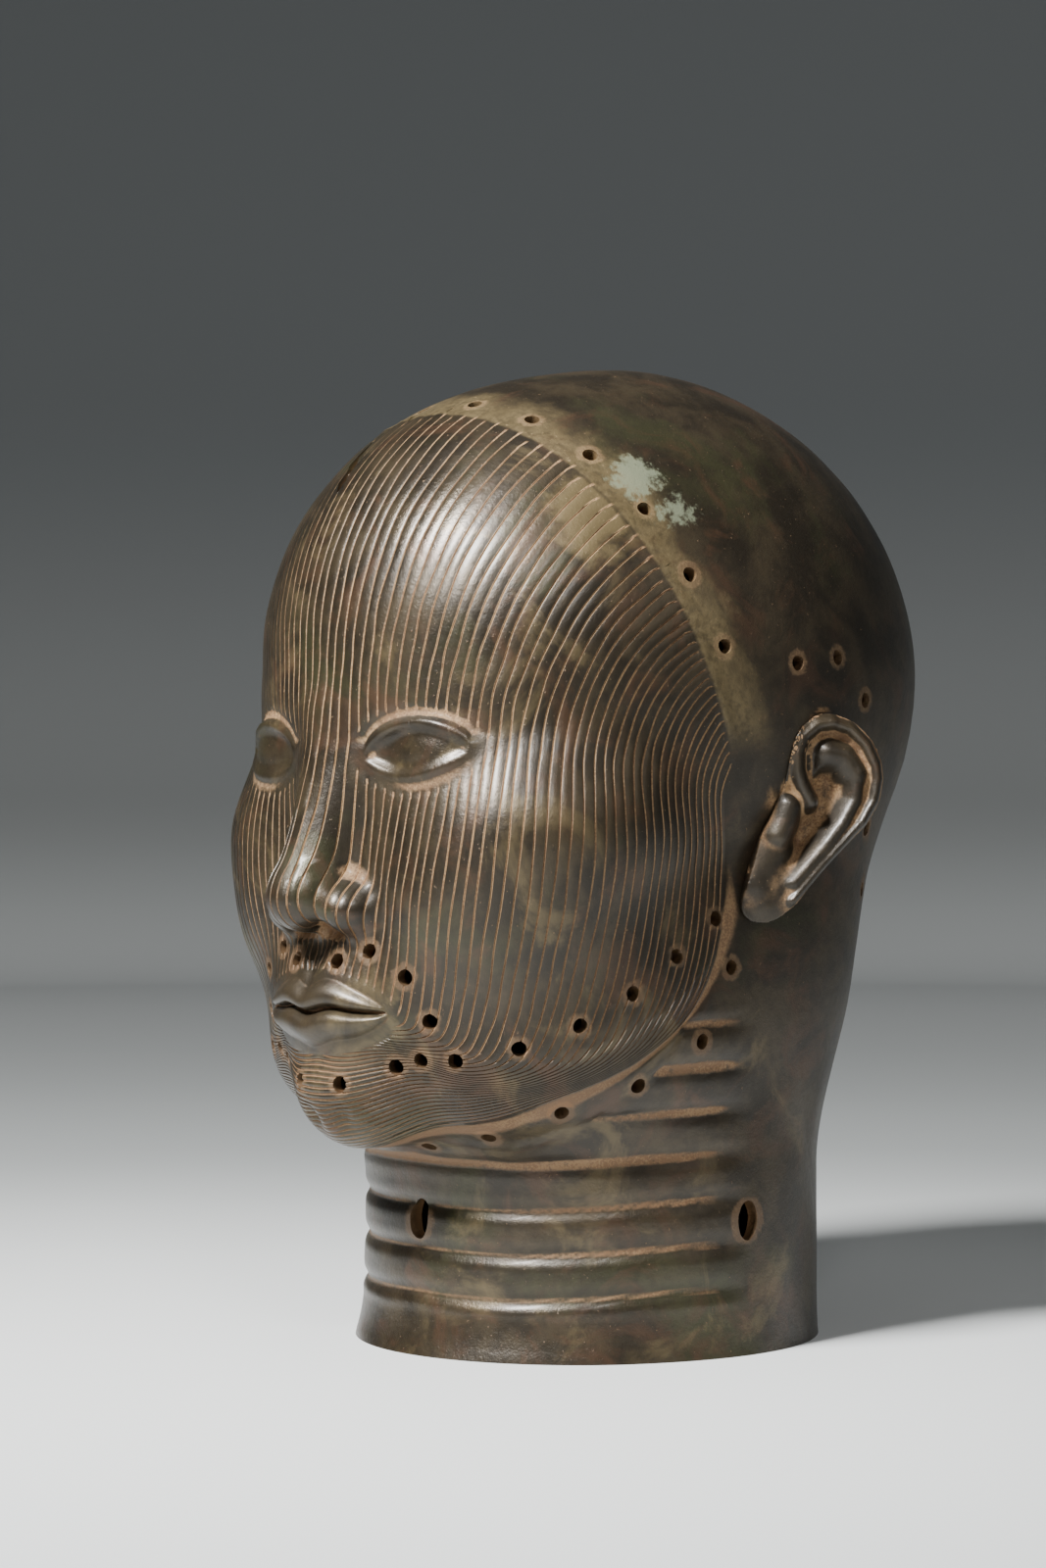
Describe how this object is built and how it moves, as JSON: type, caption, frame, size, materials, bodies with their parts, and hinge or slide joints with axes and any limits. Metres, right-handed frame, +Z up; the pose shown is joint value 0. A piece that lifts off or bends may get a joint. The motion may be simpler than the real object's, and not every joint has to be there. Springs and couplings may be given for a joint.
{
  "type": "bronze head sculpture",
  "caption": "Hollow life-size cast bronze head on a ringed neck, open below, with a lined face, pierced hairline and beard lines, and a split in the forehead.",
  "frame": {"origin": "under the middle of the head's box, on the plane of the neck's base rim", "axes": "+Z up, the head's height; -Y the way the face looks; +X the head's left side"},
  "size_m": [0.1924, 0.2393, 0.3],
  "materials": {
    "bronze": "dark brown patina with tan earth in the grooves"
  },
  "bodies": {
    "root": {"bronze_head": "bronze"}
  },
  "joints": []
}
